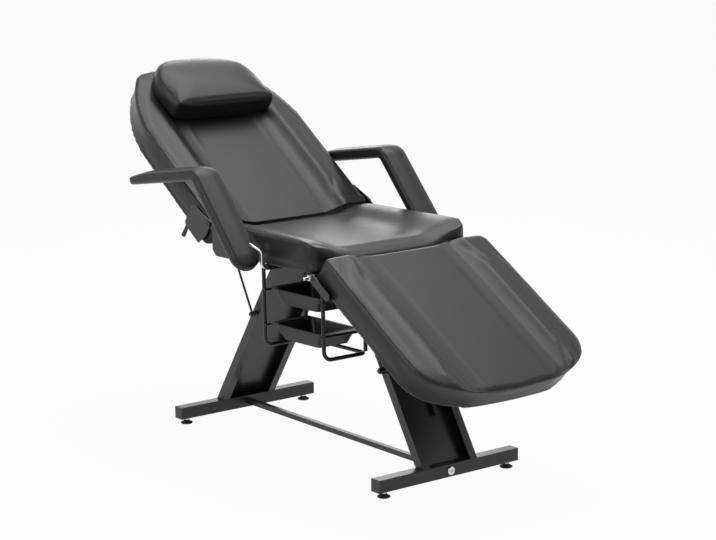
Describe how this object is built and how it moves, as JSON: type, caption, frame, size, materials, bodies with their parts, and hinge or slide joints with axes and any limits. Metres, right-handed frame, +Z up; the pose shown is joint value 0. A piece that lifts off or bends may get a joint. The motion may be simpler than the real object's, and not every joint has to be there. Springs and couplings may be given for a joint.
{
  "type": "tattoo chair",
  "caption": "Padded tattoo chair with a reclining backrest, folding leg rest, plug-in armrests, head pillow and sliding trays on a leaning channel-leg steel base.",
  "frame": {"origin": "on the floor, under the middle of the whole chair's bounding box", "axes": "+X towards the foot end, +Z up, the trays and struts are on the -Y side"},
  "size_m": [1.6856, 0.794, 1.1239],
  "materials": {
    "vinyl": "black upholstery vinyl",
    "board": "dark stained plywood",
    "frame_paint": "satin black paint",
    "black_paint": "gloss black paint",
    "bright_steel": "zinc plated",
    "tray_paint": "satin black paint",
    "black_plastic": "black moulded",
    "foot_rubber": "black rubber"
  },
  "bodies": {
    "base_and_seat": {"rear_crossbar": "frame_paint", "front_crossbar": "frame_paint", "crossbar_end_caps": "black_plastic", "foot_nuts": "bright_steel", "stretcher_bar": "frame_paint", "stretcher_bolts": "bright_steel", "stretcher_plugs": "black_plastic", "rear_leg_channel": "frame_paint", "front_leg_channel": "frame_paint", "leg_top_plates": "frame_paint", "leg_bolts": "bright_steel", "strut_lower_stud": "frame_paint", "stay_lower_stud": "frame_paint", "seat_cushion": "vinyl", "seat_board": "board", "seat_screws": "bright_steel", "seat_rails": "frame_paint", "seat_cross_bars": "frame_paint", "arm_sockets": "frame_paint", "back_hinge_brackets": "frame_paint", "leg_hinge_lugs": "frame_paint", "back_hinge_rivets": "black_paint", "leg_hinge_bolts": "bright_steel", "tray_frame_rod": "black_paint", "tray_runners": "black_paint"},
    "backrest": {"back_cushion": "vinyl", "back_board": "board", "back_screws": "bright_steel", "back_rails": "frame_paint", "back_cross_bars": "frame_paint", "back_hinge_straps": "frame_paint", "strut_upper_fork": "frame_paint", "lever_bracket": "frame_paint"},
    "leg_rest": {"leg_cushion": "vinyl", "leg_board": "board", "leg_screws": "bright_steel", "leg_rails": "frame_paint", "leg_cross_bars": "frame_paint", "leg_hinge_straps": "frame_paint", "stay_upper_fork": "frame_paint"},
    "release_lever": {"lever_rod": "black_paint", "lever_grip": "black_plastic", "lever_cap": "black_plastic"},
    "back_strut_rod": {"strut_rod": "black_paint"},
    "back_strut_cylinder": {"strut_cylinder": "black_paint"},
    "leg_stay_bar": {"stay_bar": "black_paint"},
    "leg_stay_tube": {"stay_tube": "black_paint"},
    "tray_upper": {"upper_tray": "tray_paint"},
    "tray_lower": {"lower_tray": "tray_paint"},
    "armrest_near": {"armrest_pad_near": "vinyl", "armrest_core_near": "frame_paint", "armrest_rod_near": "bright_steel"},
    "armrest_far": {"armrest_pad_far": "vinyl", "armrest_core_far": "frame_paint", "armrest_rod_far": "bright_steel"},
    "pillow": {"head_pillow": "vinyl"},
    "levelling_foot_rear_near": {"foot_rear_near": "foot_rubber"},
    "levelling_foot_rear_far": {"foot_rear_far": "foot_rubber"},
    "levelling_foot_front_near": {"foot_front_near": "foot_rubber"},
    "levelling_foot_front_far": {"foot_front_far": "foot_rubber"}
  },
  "joints": [
    {"name": "backrest_recline", "type": "hinge", "parent": "base_and_seat", "child": "backrest", "pos_m": [-0.21933, 0, 0.68814], "axis": [0, 1, 0], "range_deg": [-34.7, 25.3]},
    {"name": "leg_rest_lift", "type": "hinge", "parent": "base_and_seat", "child": "leg_rest", "pos_m": [0.29391, 0, 0.60265], "axis": [0, -1, 0], "range_deg": [-24, 31]},
    {"name": "strut_rod_pivot", "type": "hinge", "parent": "base_and_seat", "child": "back_strut_rod", "pos_m": [-0.26877, -0.116, 0.37411], "axis": [0, 1, 0], "range_deg": [-15, 12]},
    {"name": "strut_cylinder_pivot", "type": "hinge", "parent": "backrest", "child": "back_strut_cylinder", "pos_m": [-0.47345, -0.116, 0.74976], "axis": [0, 1, 0], "range_deg": [-16.5, 22]},
    {"name": "stay_bar_pivot", "type": "hinge", "parent": "base_and_seat", "child": "leg_stay_bar", "pos_m": [0.36779, -0.116, 0.31702], "axis": [0, -1, 0], "range_deg": [-13, 11]},
    {"name": "stay_tube_pivot", "type": "hinge", "parent": "leg_rest", "child": "leg_stay_tube", "pos_m": [0.33828, -0.116, 0.52116], "axis": [0, -1, 0], "range_deg": [-44, 35]},
    {"name": "release_lever_pull", "type": "hinge", "parent": "backrest", "child": "release_lever", "pos_m": [-0.36163, -0.231, 0.67234], "axis": [0, 1, 0], "range_deg": [0, 15], "stiffness_Nm_per_rad": 0.3, "springref_deg": -17.19},
    {"name": "upper_tray_slide", "type": "slide", "parent": "base_and_seat", "child": "tray_upper", "axis": [0, -1, 0], "range_m": [0, 0.12]},
    {"name": "lower_tray_slide", "type": "slide", "parent": "base_and_seat", "child": "tray_lower", "axis": [0, -1, 0], "range_m": [0, 0.12]},
    {"name": "armrest_near_plug", "type": "slide", "parent": "base_and_seat", "child": "armrest_near", "axis": [0, -1, 0], "range_m": [0, 0.06]},
    {"name": "armrest_far_plug", "type": "slide", "parent": "base_and_seat", "child": "armrest_far", "axis": [0, 1, 0], "range_m": [0, 0.06]},
    {"name": "pillow_lift", "type": "slide", "parent": "backrest", "child": "pillow", "axis": [0.5693, 0, 0.8221], "range_m": [0, 0.1]},
    {"name": "foot_rear_near_turn", "type": "hinge", "parent": "base_and_seat", "child": "levelling_foot_rear_near", "pos_m": [-0.4794, -0.23, 0], "axis": [0, 0, 1], "continuous": true},
    {"name": "foot_rear_far_turn", "type": "hinge", "parent": "base_and_seat", "child": "levelling_foot_rear_far", "pos_m": [-0.4794, 0.23, 0], "axis": [0, 0, 1], "continuous": true},
    {"name": "foot_front_near_turn", "type": "hinge", "parent": "base_and_seat", "child": "levelling_foot_front_near", "pos_m": [0.5206, -0.23, 0], "axis": [0, 0, 1], "continuous": true},
    {"name": "foot_front_far_turn", "type": "hinge", "parent": "base_and_seat", "child": "levelling_foot_front_far", "pos_m": [0.5206, 0.23, 0], "axis": [0, 0, 1], "continuous": true}
  ],
  "couplings": [
    {"joint": "strut_rod_pivot", "follows": "backrest_recline", "ratio": 0.401},
    {"joint": "strut_cylinder_pivot", "follows": "backrest_recline", "ratio": -0.599},
    {"joint": "stay_bar_pivot", "follows": "leg_rest_lift", "ratio": -0.367},
    {"joint": "stay_tube_pivot", "follows": "leg_rest_lift", "ratio": -1.367}
  ]
}
